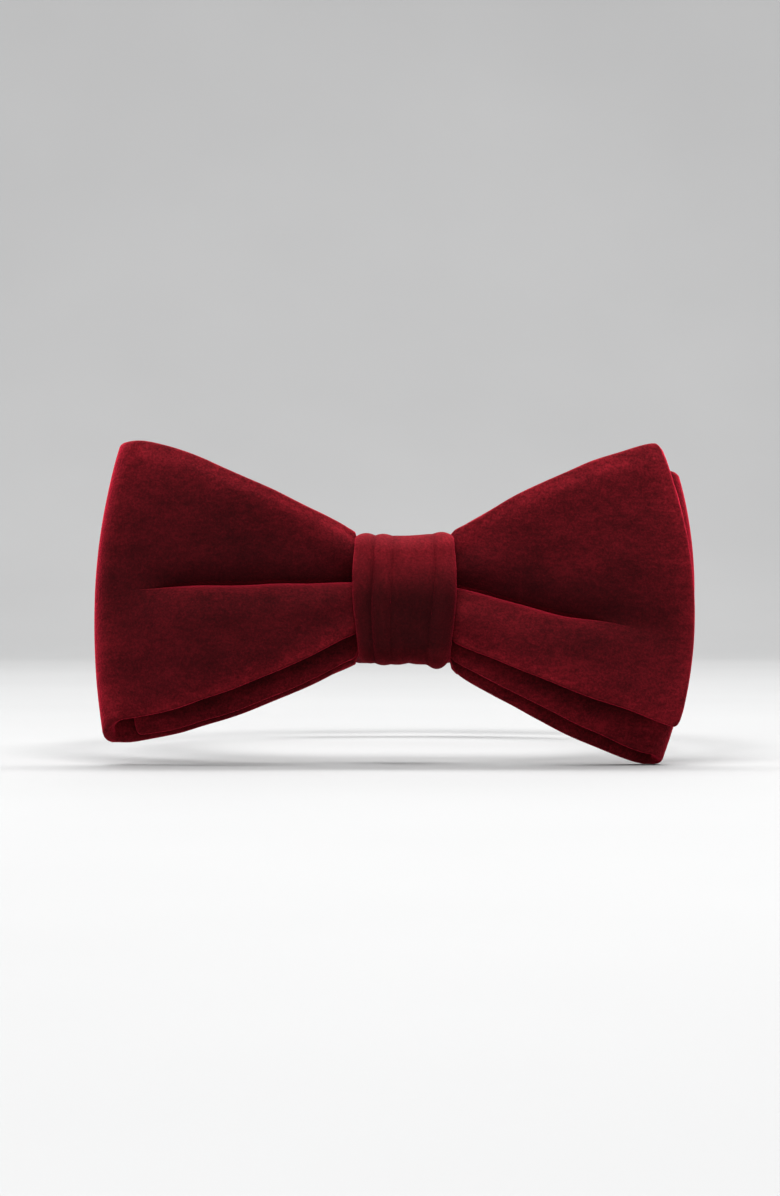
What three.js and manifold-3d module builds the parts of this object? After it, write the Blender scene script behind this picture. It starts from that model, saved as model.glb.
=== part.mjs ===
// Pre-tied velvet bow tie on an adjustable neck band with a hook-and-eye clasp.
// Millimetres. +Z up, the front of the bow faces -Y, +X is to the right in the front view.
// The origin is the centre of the neck ring at half the height of the band.
//
// All cloth pieces are swept from stations: a station is a function that gives the point at a
// share v (0 = lower or left edge, 1 = upper or right edge) across the middle of the cloth.

import * as THREE from "three";
import { mergeVertices } from "three/addons/utils/BufferGeometryUtils.js";
import Module from "manifold-3d";

const wasm = await Module();
wasm.setup();

// ---- Driving dimensions ----

const NECK_RADIUS = 62.7; // middle of the band: a 15.5 in (394 mm) collar
const BAND_HALF_HEIGHT = 10;
const GAP = 0.3; // between two plies that touch in the real cloth

const STRAP_THICKNESS = 2.2;
const STRAP_PLY = 0.5;
const FLAT_FRONT_HALF = 20; // the band is straight here, so that the knot can slide
const FRONT_Y = -Math.sqrt(NECK_RADIUS ** 2 - FLAT_FRONT_HALF ** 2);
const STRAP_JOINT_ANGLE = 0.9; // degrees from each side hinge to the end of the cloth

const KNOT_HALF_WIDTH = 10.4;
const KNOT_TOP = 12.7;
const KNOT_BOTTOM = -13.3;
const KNOT_FRONT_Y = -77.5;
const WRAP_THICKNESS = 2.2;
const WRAP_PLY = 0.6;
const WRAP_FRONT_CORNER = 2.9; // corner radii at the middle of the wrap
const WRAP_BACK_CORNER = 2;
const LAP_REACH = 6; // how far the wrap's ends lie past each other, each way from Z = 0
const LAP_GAP = 0.7; // between the wrap's hidden end and the lap over it, but for its tucked edge
const LAP_TUCK = 2.5; // the height of that tucked edge

const LEAF_THICKNESS = 2.4;
const LEAF_PLY = 0.7;
const LEAF_ROOT = KNOT_HALF_WIDTH + 1; // the wings start this far from the middle
const LAYER_PITCH = 2.9;
const BACK_LAYER_Y = -65.2;
const MIDDLE_LAYER_Y = BACK_LAYER_Y - LAYER_PITCH;
const FRONT_LAYER_Y = MIDDLE_LAYER_Y - LAYER_PITCH;
const EDGE_CURVE = 1.3; // how quickly a leaf widens near the knot

const THREAD_RADIUS = 0.35;

const METAL = 0.9; // thickness of the hook, eye and slider
const HARDWARE_HALF_HEIGHT = 12;
const STRAP_SLOT_HALF_HEIGHT = BAND_HALF_HEIGHT + 0.4;
const CLASP_Y = 60.1; // both clasp bars stand at this distance behind the centre
const HOOK_BAR_X = -9.5;
const EYE_BAR_X = 8.5;
const FOLD_RADIUS = METAL / 2 + GAP + STRAP_THICKNESS / 2 + 0.05; // of strap round a bar
const HOOK_REACH = 11.2; // from the hook's bar to its tongue
const HOOK_REST_ANGLE = 12; // the hook rests this far outside its latched place
const SLIDER_ANGLE = 62;
const SLIDER_BAR_RADIUS = NECK_RADIUS - STRAP_THICKNESS - GAP - FOLD_RADIUS;
const FEED_ANGLE = 56; // the part of the right strap past this angle feeds the size loop

// ---- Small helpers ----

const radians = THREE.MathUtils.degToRad;
const mix = THREE.MathUtils.lerp;
const vector = (x, y, z) => new THREE.Vector3(x, y, z);

// Whole numbers from 0 to count, as shares from 0 to 1.
const shares = (count) => Array.from({ length: count + 1 }, (_, i) => i / count);

function ringPoint(angle, radius = NECK_RADIUS) {
  return new THREE.Vector2(
    radius * Math.cos(radians(angle)),
    radius * Math.sin(radians(angle)),
  );
}

// Points on a circle, both ends included. Angles in degrees.
function arc(centreX, centreY, radius, from, to, steps) {
  return shares(steps).map((t) =>
    ringPoint(mix(from, to, t), radius).add(new THREE.Vector2(centreX, centreY)),
  );
}

// Points on the neck ring whose radius changes evenly from one end to the other.
function ringRun(from, to, radiusFrom = NECK_RADIUS, radiusTo = radiusFrom) {
  const steps = Math.max(1, Math.ceil(Math.abs(to - from) / 5));
  return shares(steps).map((t) =>
    ringPoint(mix(from, to, t), mix(radiusFrom, radiusTo, t)),
  );
}

// ---- Cloth from stations ----

function clothPoint(stations, i, v, offset) {
  const before = stations[Math.max(i - 1, 0)](v);
  const after = stations[Math.min(i + 1, stations.length - 1)](v);
  const across = stations[i](1).sub(stations[i](0));
  const normal = after.sub(before).cross(across).normalize();
  return stations[i](v).addScaledVector(normal, offset);
}

// The closed outline of the cloth at each station: up its one face and down the other.
function sections(stations, margin, thickness, columns) {
  return stations.map((station, i) => {
    const inset = margin / station(1).distanceTo(station(0));
    const rows = shares(columns).map((t) => mix(inset, 1 - inset, t));
    const face = rows.map((v) => clothPoint(stations, i, v, thickness / 2));
    const back = rows.map((v) => clothPoint(stations, i, v, -thickness / 2));
    return [...face, ...back.reverse()];
  });
}

// Joins closed outlines of equal length into one skin, and turns its faces outwards.
function skin(outlines, closedPath) {
  const count = outlines[0].length;
  const corners = outlines.flat();
  const faces = [];
  const quad = (a, b, c, d) => faces.push(a, b, c, a, c, d);
  const spans = closedPath ? outlines.length : outlines.length - 1;
  for (let i = 0; i < spans; i += 1) {
    const here = i * count;
    const next = ((i + 1) % outlines.length) * count;
    for (let k = 0; k < count; k += 1) {
      const other = (k + 1) % count;
      quad(here + k, here + other, next + other, next + k);
    }
  }
  if (!closedPath) {
    const last = (outlines.length - 1) * count;
    for (let k = 0; k < count / 2 - 1; k += 1) {
      const opposite = count - 1 - k;
      quad(k, opposite, opposite - 1, k + 1);
      quad(last + k, last + k + 1, last + opposite - 1, last + opposite);
    }
  }
  return facingOut(corners, faces);
}

function facingOut(corners, faces) {
  let volume = 0;
  for (let i = 0; i < faces.length; i += 3) {
    const [a, b, c] = [corners[faces[i]], corners[faces[i + 1]], corners[faces[i + 2]]];
    volume += a.dot(b.clone().cross(c));
  }
  const geometry = new THREE.BufferGeometry().setFromPoints(corners);
  geometry.setIndex(volume < 0 ? faces.reverse() : faces);
  return geometry;
}

// A solid strip of cloth.
function strip(stations, thickness, margin = 0, columns = 1) {
  return skin(sections(stations, margin, thickness, columns), false);
}

// A flat tube of cloth, open at both ends.
function sleeve(stations, thickness, ply, columns = 1) {
  const outside = sections(stations, 0, thickness, columns);
  const inside = sections(stations, ply, thickness - 2 * ply, columns);
  return skin([...outside, ...inside.reverse()], true);
}

// A flat bag of cloth, open at its first station.
function bag(stations, thickness, ply, columns) {
  const outside = sections(stations, 0, thickness, columns);
  const inside = sections(stations, ply, thickness - 2 * ply, columns).slice(0, -1);
  return skin([...inside.reverse(), ...outside], false);
}

// The stiff cloth inside a sleeve or bag, clear of its plies.
function interlining(stations, thickness, ply, columns = 1) {
  return strip(stations, thickness - 2 * (ply + GAP), ply + GAP, columns);
}

// A round thread along points, whose section is turned about the side direction.
function thread(points, side, radius = THREAD_RADIUS) {
  const sides = 6;
  const outlines = points.map((point, i) => {
    const before = points[Math.max(i - 1, 0)];
    const after = points[Math.min(i + 1, points.length - 1)];
    const along = after.clone().sub(before).normalize();
    const up = along.clone().cross(side).normalize();
    const across = up.clone().cross(along);
    return shares(sides)
      .slice(0, sides)
      .map((t) =>
        point
          .clone()
          .addScaledVector(up, radius * Math.cos(2 * Math.PI * t))
          .addScaledVector(across, radius * Math.sin(2 * Math.PI * t)),
      );
  });
  return skin(outlines, false);
}

// ---- Solids from plates and bars ----

function manifoldOf(geometry) {
  const bare = geometry.clone();
  bare.deleteAttribute("normal");
  bare.deleteAttribute("uv");
  const merged = mergeVertices(bare, 1e-4);
  return new wasm.Manifold(
    new wasm.Mesh({
      numProp: 3,
      vertProperties: merged.attributes.position.array,
      triVerts: new Uint32Array(merged.index.array),
    }),
  );
}

function joined(geometries) {
  const solid = geometries.map(manifoldOf).reduce((a, b) => a.add(b));
  const mesh = solid.getMesh();
  const geometry = new THREE.BufferGeometry();
  geometry.setAttribute("position", new THREE.BufferAttribute(mesh.vertProperties, 3));
  geometry.setIndex(new THREE.BufferAttribute(mesh.triVerts, 1));
  return geometry;
}

function rectangle(path, left, right, bottom, top) {
  path.moveTo(left, bottom);
  path.lineTo(right, bottom);
  path.lineTo(right, top);
  path.lineTo(left, top);
  path.closePath();
  return path;
}

// A plate that lies in X and Z with rectangular slots [left, right, half height].
function slottedPlate(left, right, halfHeight, slots) {
  const outline = rectangle(new THREE.Shape(), left, right, -halfHeight, halfHeight);
  for (const [from, to, half] of slots)
    outline.holes.push(rectangle(new THREE.Path(), from, to, -half, half));
  const plate = new THREE.ExtrudeGeometry(outline, { depth: METAL, bevelEnabled: false });
  return plate.translate(0, 0, -METAL / 2).rotateX(Math.PI / 2);
}

// A profile in X and Y, extruded from one height to another.
function uprightPrism(points, from, to) {
  const outline = new THREE.Shape(points);
  const prism = new THREE.ExtrudeGeometry(outline, { depth: to - from, bevelEnabled: false });
  return prism.translate(0, 0, from);
}

function block(x0, x1, y0, y1, z0, z1) {
  const box = new THREE.BoxGeometry(x1 - x0, y1 - y0, z1 - z0);
  return box.translate((x0 + x1) / 2, (y0 + y1) / 2, (z0 + z1) / 2);
}

// ---- Neck band and straps ----

// Stations of a strap that stands upright along a path in X and Y.
function upright(path, halfHeight = BAND_HALF_HEIGHT) {
  return path.map((point) => (v) => vector(point.x, point.y, mix(-halfHeight, halfHeight, v)));
}

function bandFrontPath() {
  const chordAngle = THREE.MathUtils.radToDeg(Math.acos(FLAT_FRONT_HALF / NECK_RADIUS));
  const left = ringRun(180 + STRAP_JOINT_ANGLE, 360 - 180 + chordAngle);
  const straight = [-8, 8].map((x) => new THREE.Vector2(x, FRONT_Y));
  const right = ringRun(360 - chordAngle, 360 - STRAP_JOINT_ANGLE);
  return [...left, ...straight, ...right];
}

// The left strap runs to the hook's bar, folds round it and ends inside itself.
function leftStrapPath() {
  const innerEnd = CLASP_Y - FOLD_RADIUS;
  const outerAngle = THREE.MathUtils.radToDeg(Math.atan2(CLASP_Y + FOLD_RADIUS, HOOK_BAR_X));
  const innerRadius = Math.hypot(HOOK_BAR_X, innerEnd);
  const innerAngle = THREE.MathUtils.radToDeg(Math.atan2(innerEnd, HOOK_BAR_X));
  return [
    ...ringRun(180 - STRAP_JOINT_ANGLE, outerAngle + 2),
    ...arc(HOOK_BAR_X, CLASP_Y, FOLD_RADIUS, 90, -90, 8),
    ...ringRun(innerAngle + 3, innerAngle + 14, innerRadius),
  ];
}

// The right strap folds round the eye's bar and runs back inside itself.
function eyeLoopPath() {
  return [
    ringPoint(FEED_ANGLE + 24.3),
    ...arc(EYE_BAR_X, CLASP_Y, FOLD_RADIUS, 90, 270, 8),
    ringPoint(79, Math.hypot(EYE_BAR_X, CLASP_Y - FOLD_RADIUS)),
  ];
}

function sizeRunPath() {
  const start = Math.hypot(EYE_BAR_X, CLASP_Y - FOLD_RADIUS);
  return ringRun(78.6, 69.4, start, SLIDER_BAR_RADIUS + FOLD_RADIUS);
}

// The end of the strap folds round the slider's middle bar.
function sliderLoopPath() {
  const bar = ringPoint(SLIDER_ANGLE, SLIDER_BAR_RADIUS);
  return [
    ...ringRun(69, SLIDER_ANGLE + 2, SLIDER_BAR_RADIUS + FOLD_RADIUS),
    ...arc(bar.x, bar.y, FOLD_RADIUS, SLIDER_ANGLE, SLIDER_ANGLE - 180, 8),
    ...ringRun(SLIDER_ANGLE + 2, 69, SLIDER_BAR_RADIUS - FOLD_RADIUS),
  ];
}

const strapShell = (path) => sleeve(upright(path), STRAP_THICKNESS, STRAP_PLY);
const strapInterlining = (path) => interlining(upright(path), STRAP_THICKNESS, STRAP_PLY);
const strapSolid = (path) => strip(upright(path), STRAP_THICKNESS);

// A dense bar of stitches that holds a folded end to its strap.
function bartack(angle, radius) {
  const halfWidth = 0.7;
  const halfHeight = 8;
  const depth = 0.9;
  const bar = block(-depth / 2, depth / 2, -halfWidth, halfWidth, -halfHeight, halfHeight);
  return bar.rotateZ(radians(angle)).translate(...ringPoint(angle, radius), 0);
}

// A blank cloth label on the neck side of the band.
function label() {
  const thickness = 0.4;
  const halfHeight = 6;
  const radius = NECK_RADIUS - STRAP_THICKNESS / 2 - GAP - thickness / 2 - 0.1;
  return strip(upright(ringRun(300, 328, radius), halfHeight), thickness);
}

// ---- Clasp ----

function eyePlate() {
  const strapSlot = [METAL / 2, 3.6, STRAP_SLOT_HALF_HEIGHT];
  const hookSlot = [5.6, 8.1, 4.2];
  return slottedPlate(-METAL / 2, 9.7, HARDWARE_HALF_HEIGHT, [strapSlot, hookSlot]);
}

// The cranked middle of the hook with its tongue, in the latched position. The tongue's faces
// are arcs round the hook's bar, so it swings in and out of the eye without rubbing.
function hookTongue() {
  const half = METAL / 2;
  const level = 1.4; // middle of the plate above the middle of the eye
  const tipAngle = -6;
  const inner = HOOK_REACH - half;
  const outer = HOOK_REACH + half;
  const angleAt = (radius, height) => THREE.MathUtils.radToDeg(Math.asin(height / radius));
  const points = [
    new THREE.Vector2(4.4, -half),
    new THREE.Vector2(6.4, -half),
    new THREE.Vector2(7.9, level - half),
    ...arc(0, 0, inner, angleAt(inner, level - half), tipAngle, 4),
    ...arc(0, 0, outer, tipAngle, angleAt(outer, level + half), 4),
    new THREE.Vector2(7.5, level + half),
    new THREE.Vector2(5.9, half),
    new THREE.Vector2(4.4, half),
  ];
  return uprightPrism(points, -3.5, 3.5);
}

function hook() {
  const strapSlot = [METAL / 2, 3.6, STRAP_SLOT_HALF_HEIGHT];
  const plate = slottedPlate(-METAL / 2, 5.6, HARDWARE_HALF_HEIGHT, [strapSlot]);
  const tongue = hookTongue();
  return joined([plate, tongue]).rotateZ(radians(HOOK_REST_ANGLE));
}

// Three bars on two cranked side plates. The middle bar stands inside the strap and carries
// its end; the outer bars keep the strap against it.
function slider() {
  const half = METAL / 2;
  const outerBarY = NECK_RADIUS + STRAP_THICKNESS / 2 + GAP + 0.1;
  const spread = 3.2;
  const slotEnd = STRAP_SLOT_HALF_HEIGHT;
  const top = slotEnd + METAL;
  const bars = [
    block(-half, half, SLIDER_BAR_RADIUS - half, SLIDER_BAR_RADIUS + half, -top, top),
    block(-spread - half, -spread + half, outerBarY, outerBarY + METAL, -top, top),
    block(spread - half, spread + half, outerBarY, outerBarY + METAL, -top, top),
  ];
  const side = [
    new THREE.Vector2(-half, SLIDER_BAR_RADIUS - half),
    new THREE.Vector2(half, SLIDER_BAR_RADIUS - half),
    new THREE.Vector2(spread + half, outerBarY),
    new THREE.Vector2(spread + half, outerBarY + METAL),
    new THREE.Vector2(-spread - half, outerBarY + METAL),
    new THREE.Vector2(-spread - half, outerBarY),
  ];
  const sides = [uprightPrism(side, slotEnd, top), uprightPrism(side, -top, -slotEnd)];
  return joined([...bars, ...sides]).rotateZ(radians(SLIDER_ANGLE - 90));
}

// ---- Knot ----

// The wrap starts behind the band, runs up, over the front, under and up behind its own start.
function wrapPath() {
  const half = WRAP_THICKNESS / 2;
  const innerBackY = FRONT_Y + STRAP_THICKNESS / 2 + 0.4 + half;
  const outerBackY = innerBackY + WRAP_THICKNESS + LAP_GAP;
  const tuckedEdgeY = innerBackY + WRAP_THICKNESS + GAP;
  const top = KNOT_TOP - half;
  const bottom = KNOT_BOTTOM + half;
  const front = KNOT_FRONT_Y + half;
  const crown = 0.6; // the front bulges by this much between its rounded edges
  const corner = WRAP_FRONT_CORNER;
  const backCorner = WRAP_BACK_CORNER;
  const sideFront = front + crown;
  return [
    new THREE.Vector2(innerBackY, -LAP_REACH),
    ...arc(innerBackY - backCorner, top - backCorner, backCorner, 0, 90, 4),
    ...arc(sideFront + corner, top - corner, corner, 90, 180, 4),
    new THREE.Vector2(front + crown * 0.25, 5),
    new THREE.Vector2(front, 0),
    new THREE.Vector2(front + crown * 0.25, -5),
    ...arc(sideFront + corner, bottom + corner, corner, 180, 270, 4),
    ...arc(outerBackY - backCorner, bottom + backCorner, backCorner, 270, 360, 4),
    new THREE.Vector2(outerBackY, LAP_REACH - LAP_TUCK),
    new THREE.Vector2(tuckedEdgeY, LAP_REACH),
  ];
}

function wrapStations() {
  return wrapPath().map(
    (point) => (v) =>
      vector(mix(-KNOT_HALF_WIDTH, KNOT_HALF_WIDTH, v), point.x, point.y),
  );
}

// Gathered cloth inside the knot: lowest at the middle, where the binding thread ties it.
function waist(fromX, toX, y, thickness) {
  const tied = 7.7;
  const spread = 2.4;
  const halfHeight = (x) => tied + spread * (x / KNOT_HALF_WIDTH) ** 2;
  const stations = shares(6).map((t) => {
    const x = mix(fromX, toX, t);
    return (v) => vector(x, y, mix(-halfHeight(x), halfHeight(x), v));
  });
  return strip(stations, thickness);
}

// Three turns of thread round the waists of the two blades.
function bindingThread() {
  const turns = 3;
  const pitch = 1.05;
  const halfHeight = 9.1;
  const backY = -61.9;
  const frontY = -74.2;
  const middleY = (backY + frontY) / 2;
  const halfDepth = (backY - frontY) / 2;
  const stepsPerTurn = 20;
  const squareness = 0.2; // below 1 makes the round turn follow the square bundle
  const square = (value) => Math.sign(value) * Math.abs(value) ** squareness;
  const points = shares(turns * stepsPerTurn).map((t) => {
    const turn = 2 * Math.PI * (turns * t + 0.5 / stepsPerTurn);
    const x = (t - 0.5) * pitch * turns;
    const y = middleY + halfDepth * square(Math.cos(turn));
    return vector(x, y, halfHeight * square(Math.sin(turn)));
  });
  return thread(points, vector(1, 0, 0), 0.3);
}

// Whip stitches over the free end of the wrap, on the back of the knot.
function backStitch() {
  const lapY = FRONT_Y + STRAP_THICKNESS / 2 + 0.4 + 2 * WRAP_THICKNESS + LAP_GAP;
  const innerY = lapY - WRAP_THICKNESS - LAP_GAP;
  const radius = 0.25;
  const lift = radius + 0.3;
  const points = [];
  for (let x = -7.5; x < 7.6; x += 2.5) {
    points.push(vector(x, innerY + lift, LAP_REACH + 1.6));
    points.push(vector(x + 0.4, lapY + lift, LAP_REACH + 0.6));
    points.push(vector(x + 0.8, lapY + lift, LAP_REACH - 1));
    points.push(vector(x + 1.6, lapY + lift, LAP_REACH + 0.6));
  }
  return thread(points, vector(0, 0, 1), radius);
}

// ---- Blades ----

// A leg is one layer of a wing. Its heights are [at the knot, at the outer end]; its depth is
// the Y of its middle: [layer, how far it bellies out halfway, how far it has moved at the end].
const LEFT_LOOP = {
  side: -1,
  outline: { low: 60.6, high: 57, bow: 3.2 },
  front: { top: [13.3, 31.5], bottom: [-7.4, -24.8], depth: [FRONT_LAYER_Y, -4.5, -0.7] },
  back: { top: [9.5, 27], bottom: [-13.2, -28.9], depth: [BACK_LAYER_Y, 2, 0.3] },
};
const LEFT_END = {
  side: -1,
  outline: { low: 54.4, high: 51.5, bow: 2.6 },
  front: { top: [11, 28], bottom: [-11.9, -27.4], depth: [MIDDLE_LAYER_Y, 0, 0] },
};
const RIGHT_END = {
  side: 1,
  outline: { low: 54.4, high: 51.1, bow: 4.9 },
  front: { top: [13, 30.9], bottom: [-9.2, -25.9], depth: [FRONT_LAYER_Y, -4, -1.5] },
};
const RIGHT_LOOP = {
  side: 1,
  outline: { low: 51.9, high: 54.4, bow: 4.4 },
  front: { top: [10.5, 26], bottom: [-13.1, -32], depth: [MIDDLE_LAYER_Y, -2, -1.2] },
  back: { top: [9.5, 24.5], bottom: [-14.3, -33.1], depth: [BACK_LAYER_Y, 2.5, 0.6] },
};

const outerEdge = ({ low, high, bow }, v) => mix(low, high, v) + bow * 4 * v * (1 - v);

function edgeHeight([root, tip], reach) {
  return mix(root, tip, 1 - (1 - reach) ** EDGE_CURVE);
}

function legY([layer, belly, shift], reach) {
  return layer + belly * Math.sin(Math.PI * reach) + shift * reach;
}

// One layer from the knot (reach 0) to where it ends or turns back (reach 1), which lies
// short of the outline by the given amount.
function legStation(leaf, leg, reach, short) {
  return (v) => {
    const end = outerEdge(leaf.outline, v) - short;
    const z = mix(edgeHeight(leg.bottom, reach), edgeHeight(leg.top, reach), v);
    return vector(leaf.side * mix(LEAF_ROOT, end, reach), legY(leg.depth, reach), z);
  };
}

// The round fold at the outer end of a loop, from its front leg to its back leg.
function foldStation(leaf, share, radius) {
  const { front, back, outline, side } = leaf;
  const middleY = (legY(front.depth, 1) + legY(back.depth, 1)) / 2;
  const angle = Math.PI * share;
  return (v) => {
    const x = outerEdge(outline, v) - LEAF_THICKNESS / 2 - radius * (1 - Math.sin(angle));
    const bottom = mix(front.bottom[1], back.bottom[1], share);
    const top = mix(front.top[1], back.top[1], share);
    return vector(side * x, middleY - radius * Math.cos(angle), mix(bottom, top, v));
  };
}

function loopStations(leaf) {
  const radius = (legY(leaf.back.depth, 1) - legY(leaf.front.depth, 1)) / 2;
  const short = radius + LEAF_THICKNESS / 2;
  const legs = shares(8);
  return [
    ...legs.map((reach) => legStation(leaf, leaf.front, reach, short)),
    ...shares(6)
      .slice(1, -1)
      .map((share) => foldStation(leaf, share, radius)),
    ...legs.reverse().map((reach) => legStation(leaf, leaf.back, reach, short)),
  ];
}

// A flat end's last three stations leave room for the closed end of the bag.
function endStations(leaf) {
  const reaches = [...shares(8).slice(0, -1), 0.95, 0.975, 1];
  return reaches.map((reach) => legStation(leaf, leaf.front, reach, 0));
}

const LEAF_COLUMNS = 4;
const loopShell = (leaf) => sleeve(loopStations(leaf), LEAF_THICKNESS, LEAF_PLY, LEAF_COLUMNS);
const loopLining = (leaf) =>
  interlining(loopStations(leaf), LEAF_THICKNESS, LEAF_PLY, LEAF_COLUMNS);
const endShell = (leaf) => bag(endStations(leaf), LEAF_THICKNESS, LEAF_PLY, LEAF_COLUMNS);
const endLining = (leaf) =>
  interlining(endStations(leaf).slice(0, -2), LEAF_THICKNESS, LEAF_PLY, LEAF_COLUMNS);

// ---- Materials ----

const finish = (color, roughness, metalness = 0) => () =>
  new THREE.MeshStandardMaterial({ color, roughness, metalness });
const velvet = finish(0x6e0d18, 0.9);
const canvas = finish(0xd9d2c2, 0.95);
const satin = finish(0x5c0b14, 0.45);
const thread40 = finish(0x4a0a12, 0.7);
const labelCloth = finish(0xe9e5dc, 0.6);
const nickel = finish(0xc9c9c6, 0.25, 1);

// ---- Assembly ----

function piece(group, name, geometry, material, x = 0, y = 0) {
  const mesh = new THREE.Mesh(geometry, material());
  mesh.name = name;
  mesh.position.set(x, y, 0);
  group.add(mesh);
}

function neckBand() {
  const group = new THREE.Group();
  piece(group, "band_front_shell", strapShell(bandFrontPath()), satin);
  piece(group, "band_front_interlining", strapInterlining(bandFrontPath()), canvas);
  piece(group, "blank_label", label(), labelCloth);
  return group;
}

function knot() {
  const group = new THREE.Group();
  const stations = wrapStations();
  const inside = KNOT_HALF_WIDTH - 0.6;
  const returnEnds = [-64.45, 3.7];
  const rearWaist = [-68.15, 2.9];
  const frontWaist = [-71.8, 3.6];
  piece(group, "knot_wrap_shell", sleeve(stations, WRAP_THICKNESS, WRAP_PLY), velvet);
  piece(
    group,
    "knot_wrap_interlining",
    interlining(stations, WRAP_THICKNESS, WRAP_PLY),
    canvas,
  );
  piece(group, "knot_back_stitch", backStitch(), thread40);
  piece(group, "waist_binding_thread", bindingThread(), thread40);
  piece(group, "front_blade_waist", waist(-inside, inside, ...frontWaist), velvet);
  piece(group, "rear_blade_waist", waist(-inside, inside, ...rearWaist), velvet);
  piece(group, "front_blade_return_end", waist(-inside, -GAP, ...returnEnds), velvet);
  piece(group, "rear_blade_return_end", waist(GAP, inside, ...returnEnds), velvet);
  return group;
}

function leftWing() {
  const group = new THREE.Group();
  piece(group, "front_blade_loop_shell", loopShell(LEFT_LOOP), velvet);
  piece(group, "front_blade_loop_interlining", loopLining(LEFT_LOOP), canvas);
  piece(group, "rear_blade_end_shell", endShell(LEFT_END), velvet);
  piece(group, "rear_blade_end_interlining", endLining(LEFT_END), canvas);
  return group;
}

function rightWing() {
  const group = new THREE.Group();
  piece(group, "front_blade_end_shell", endShell(RIGHT_END), velvet);
  piece(group, "front_blade_end_interlining", endLining(RIGHT_END), canvas);
  piece(group, "rear_blade_loop_shell", loopShell(RIGHT_LOOP), velvet);
  piece(group, "rear_blade_loop_interlining", loopLining(RIGHT_LOOP), canvas);
  return group;
}

function hookSide() {
  const group = new THREE.Group();
  const between = Math.hypot(HOOK_BAR_X, CLASP_Y);
  piece(group, "strap_left_shell", strapShell(leftStrapPath()), satin);
  piece(group, "strap_left_interlining", strapInterlining(leftStrapPath()), canvas);
  piece(group, "hook_bartack", bartack(107, between), thread40);
  piece(group, "hook", hook(), nickel, HOOK_BAR_X, CLASP_Y);
  return group;
}

function eyeSide() {
  const group = new THREE.Group();
  const mainRun = ringRun(STRAP_JOINT_ANGLE, FEED_ANGLE);
  const feedRun = ringRun(FEED_ANGLE + GAP, FEED_ANGLE + 24);
  piece(group, "strap_right_shell", strapShell(mainRun), satin);
  piece(group, "strap_right_interlining", strapInterlining(mainRun), canvas);
  piece(group, "size_feed_strap", strapSolid(feedRun), satin);
  piece(group, "eye_loop_strap", strapSolid(eyeLoopPath()), satin);
  piece(group, "size_run_strap", strapSolid(sizeRunPath()), satin);
  piece(group, "slider_frame", slider(), nickel);
  piece(group, "slider_loop_strap", strapSolid(sliderLoopPath()), satin);
  piece(group, "slider_bartack", bartack(SLIDER_ANGLE + 5.5, SLIDER_BAR_RADIUS), thread40);
  piece(group, "eye", eyePlate().rotateZ(Math.PI), nickel, EYE_BAR_X, CLASP_Y);
  return group;
}

const bowTie = new THREE.Group();
bowTie.add(neckBand(), knot(), leftWing(), rightWing(), hookSide(), eyeSide());

export default bowTie;
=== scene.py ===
import math

import bmesh
import bpy
import numpy as np
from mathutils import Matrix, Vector, noise


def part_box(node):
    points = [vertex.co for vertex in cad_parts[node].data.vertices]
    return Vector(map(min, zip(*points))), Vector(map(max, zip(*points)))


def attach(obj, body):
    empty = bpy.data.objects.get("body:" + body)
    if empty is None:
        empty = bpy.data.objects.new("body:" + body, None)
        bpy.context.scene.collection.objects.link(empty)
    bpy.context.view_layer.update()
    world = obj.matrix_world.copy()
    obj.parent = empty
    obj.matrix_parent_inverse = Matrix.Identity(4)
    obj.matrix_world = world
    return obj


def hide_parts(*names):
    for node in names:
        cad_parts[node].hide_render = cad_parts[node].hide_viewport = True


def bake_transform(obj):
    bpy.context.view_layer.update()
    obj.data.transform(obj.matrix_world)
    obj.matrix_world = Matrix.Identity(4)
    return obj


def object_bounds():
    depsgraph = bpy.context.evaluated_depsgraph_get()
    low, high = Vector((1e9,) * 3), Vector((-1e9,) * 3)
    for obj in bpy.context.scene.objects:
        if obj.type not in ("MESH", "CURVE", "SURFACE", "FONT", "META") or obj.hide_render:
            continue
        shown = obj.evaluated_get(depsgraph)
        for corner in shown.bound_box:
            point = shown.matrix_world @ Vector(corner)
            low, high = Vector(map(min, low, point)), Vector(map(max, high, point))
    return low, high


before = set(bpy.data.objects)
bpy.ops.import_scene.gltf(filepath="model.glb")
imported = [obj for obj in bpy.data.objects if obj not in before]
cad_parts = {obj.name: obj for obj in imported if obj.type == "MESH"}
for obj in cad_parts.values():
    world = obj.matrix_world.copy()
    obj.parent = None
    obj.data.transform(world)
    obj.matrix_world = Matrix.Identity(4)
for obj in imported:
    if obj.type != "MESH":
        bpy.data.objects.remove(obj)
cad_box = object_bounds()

# Shapes are worked out in millimetres, in the row frame: +X right, -Y front, +Z up.
# make_piece() turns them into metres.
MM = 0.001

# ---- Sizes that the CAD model has too ----

KNOT_LOW, KNOT_HIGH = (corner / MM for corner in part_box("knot_wrap_shell"))
BAND_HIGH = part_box("band_front_shell")[1] / MM

KNOT_HALF_WIDTH = KNOT_HIGH.x
WRAP_THICKNESS = 2.2

# Angles round the neck ring start at +X, and the clasp is at 90 degrees.
NECK_RADIUS = 62.7  # to the middle of the band's thickness
BAND_HALF_HEIGHT = BAND_HIGH.z
STRAP_THICKNESS = 2.2
STRAP_RADIUS_OUT = NECK_RADIUS + STRAP_THICKNESS / 2
FLAT_FRONT_HALF = 20.0  # the band is straight in front, this far to each side
BAND_FRONT_Y = -math.sqrt(NECK_RADIUS**2 - FLAT_FRONT_HALF**2)
CLASP_Y = 60.1
HOOK_BAR_X = -9.5
EYE_BAR_X = 8.5
FOLD_RADIUS = 1.9  # of a strap's middle where it folds round a bar
SLIDER_ANGLE = 62.0
SLIDER_BAR_RADIUS = 58.3
SEAM_ANGLE = 27.0
HOOK_TACK_ANGLE = 107.0

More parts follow.
